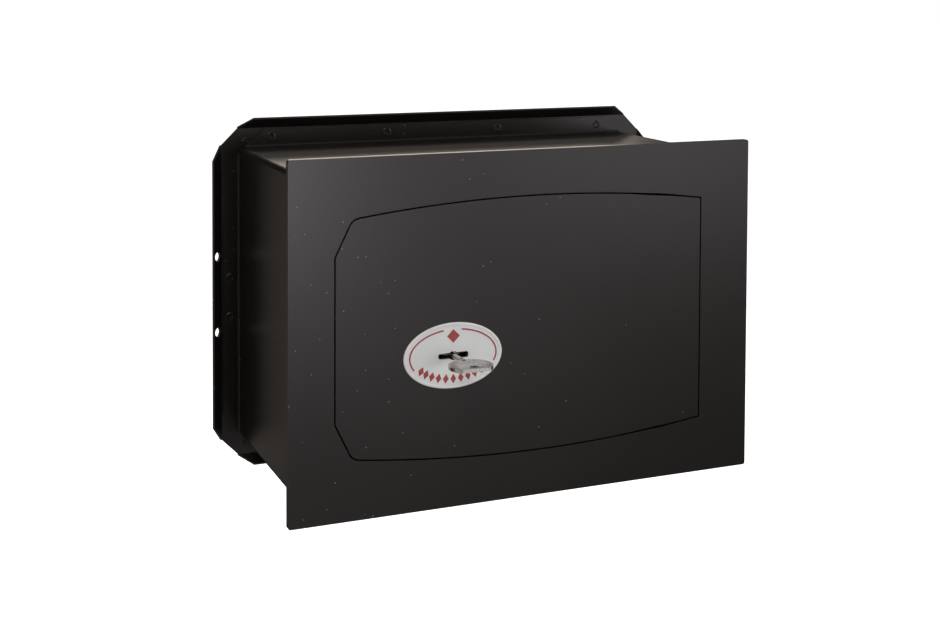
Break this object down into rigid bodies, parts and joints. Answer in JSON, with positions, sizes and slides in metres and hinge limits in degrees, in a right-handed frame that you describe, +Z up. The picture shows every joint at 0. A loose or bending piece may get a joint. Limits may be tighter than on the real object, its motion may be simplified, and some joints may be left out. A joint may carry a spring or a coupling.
{
  "type": "wall safe",
  "caption": "Built-in wall safe: flat front plate with a curved-edge hinged door, oval keyhole label, inserted double-bit key and a sheet body with a flanged back.",
  "frame": {"origin": "centre of the back panel's rear face", "axes": "+Y into the wall, out of the back panel; +X to the right of someone facing the door; +Z up"},
  "size_m": [0.4152, 0.2415, 0.2962],
  "materials": {
    "charcoal_paint": "fine textured powder coat",
    "cover_paint": "fine textured powder coat",
    "bare_steel": "milled, lightly oiled",
    "zinc_plate": "bright zinc plate",
    "brass": "drawn sheet and bar",
    "label_face": "satin, slightly domed rim",
    "label_ink": "screen print",
    "key_nickel": "polished nickel plate"
  },
  "bodies": {
    "root": {"front_frame": "charcoal_paint", "door_stops": "charcoal_paint", "body_shell": "charcoal_paint", "back_panel": "charcoal_paint", "keeper_angle": "charcoal_paint", "hinge_lugs": "charcoal_paint", "hinge_pins": "zinc_plate"},
    "door": {"door_panel": "charcoal_paint", "hinge_knuckles": "charcoal_paint", "hinge_dog": "bare_steel", "hard_plate": "bare_steel", "lock_case": "zinc_plate", "lock_cover": "zinc_plate", "lock_studs": "zinc_plate", "lock_nuts": "zinc_plate", "lever_post": "zinc_plate", "bolt_guide": "bare_steel", "inner_cover": "cover_paint", "cover_pillars": "zinc_plate", "cover_screws": "zinc_plate", "keyhole_label": "label_face", "label_print": "label_ink"},
    "carriage": {"bolt_carriage": "bare_steel", "live_bolts": "zinc_plate", "bolt_screws": "zinc_plate", "lock_bolt": "bare_steel", "tail_rivets": "zinc_plate"},
    "levers": {"lock_levers": "brass", "lever_springs": "zinc_plate"},
    "curtain": {"key_curtain": "brass"},
    "key": {"key": "key_nickel"}
  },
  "joints": [
    {"name": "door_swing", "type": "hinge", "parent": "root", "child": "door", "pos_m": [0.1095, -0.187, 0], "axis": [0, 0, 1], "range_deg": [0, 95]},
    {"name": "bolt_throw", "type": "slide", "parent": "door", "child": "carriage", "axis": [-1, 0, 0], "range_m": [0, 0.018]},
    {"name": "key_turn", "type": "hinge", "parent": "door", "child": "curtain", "pos_m": [-0.0663, -0.18, -0.0187], "axis": [0, -1, 0], "range_deg": [0, 360]},
    {"name": "key_withdraw", "type": "slide", "parent": "curtain", "child": "key", "axis": [0, -1, 0], "range_m": [0, 0.06]},
    {"name": "lever_lift", "type": "hinge", "parent": "door", "child": "levers", "pos_m": [-0.044, -0.173, 0.017], "axis": [0, 1, 0], "range_deg": [0, 5], "stiffness_Nm_per_rad": 0.05, "springref_deg": -22.92, "deforming": ["lever_springs"]}
  ],
  "couplings": [
    {"joint": "key_turn", "follows": "bolt_throw", "rad_per_m": 349.06}
  ]
}
